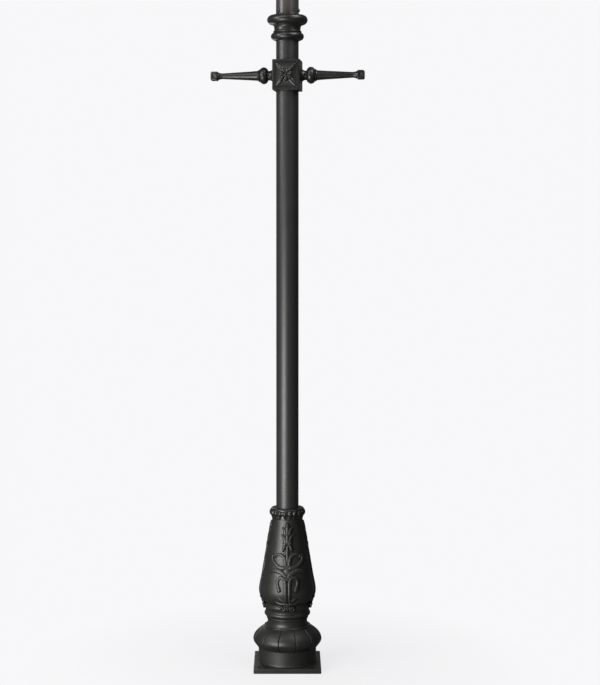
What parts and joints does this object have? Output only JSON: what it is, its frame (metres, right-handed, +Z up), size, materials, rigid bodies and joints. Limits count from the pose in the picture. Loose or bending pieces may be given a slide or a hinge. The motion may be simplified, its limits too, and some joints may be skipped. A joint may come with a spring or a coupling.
{
  "type": "lamp post",
  "caption": "Black lamp post with a square base plate, cast foot and vase, beaded collar, ladder rest and top collar that holds the tube for a lantern.",
  "frame": {"origin": "centre of the base plate's underside, on the ground and on the axis of the post", "axes": "+Z up along the post, -Y towards the front, +X to the right seen from the front"},
  "size_m": [0.521, 0.234, 2.3302],
  "materials": {
    "plate_black": "satin black powder coat on a steel plate",
    "cast_black": "satin black powder coat on cast aluminium",
    "tube_black": "satin black powder coat on a steel tube",
    "lantern_tube_black": "gloss brown-black paint on a steel tube",
    "zinc": "zinc plated steel",
    "brass": "plain brass",
    "rubber": "black moulded rubber"
  },
  "bodies": {
    "post": {"base_plate": "plate_black", "cable_grommet": "rubber", "plate_screws": "zinc", "foot_casting": "cast_black", "earth_screw": "brass", "foot_bolts": "zinc", "foot_washers": "zinc", "vase_casting": "cast_black", "bead_collar": "cast_black", "post_screws": "zinc", "post_tube": "tube_black", "top_collar": "cast_black", "collar_screw": "zinc", "inner_sleeve": "zinc", "sleeve_screws": "zinc"},
    "ladder_rest": {"ladder_box": "cast_black", "arm_studs": "zinc", "ladder_arm_right": "cast_black", "ladder_arm_left": "cast_black"},
    "ladder_box_screw": {"ladder_box_screw": "zinc"},
    "lantern_tube": {"top_tube": "lantern_tube_black"},
    "clamp_screw_right": {"clamp_screw_right": "lantern_tube_black"},
    "clamp_screw_back": {"clamp_screw_back": "lantern_tube_black"},
    "clamp_screw_left": {"clamp_screw_left": "lantern_tube_black"}
  },
  "joints": [
    {"name": "ladder_rest_swivel", "type": "hinge", "parent": "post", "child": "ladder_rest", "pos_m": [0, 0, 2.012], "axis": [0, 0, 1], "continuous": true},
    {"name": "ladder_box_screw_slide", "type": "slide", "parent": "ladder_rest", "child": "ladder_box_screw", "axis": [0.1149, 0.9934, 0], "range_m": [0, 0.006]},
    {"name": "lantern_tube_swivel", "type": "hinge", "parent": "post", "child": "lantern_tube", "pos_m": [0, 0, 2.25], "axis": [0, 0, 1], "continuous": true},
    {"name": "clamp_screw_right_slide", "type": "slide", "parent": "lantern_tube", "child": "clamp_screw_right", "axis": [0.9397, -0.342, 0], "range_m": [0, 0.003]},
    {"name": "clamp_screw_back_slide", "type": "slide", "parent": "lantern_tube", "child": "clamp_screw_back", "axis": [-0.1736, 0.9848, 0], "range_m": [0, 0.003]},
    {"name": "clamp_screw_left_slide", "type": "slide", "parent": "lantern_tube", "child": "clamp_screw_left", "axis": [-0.766, -0.6428, 0], "range_m": [0, 0.003]}
  ]
}
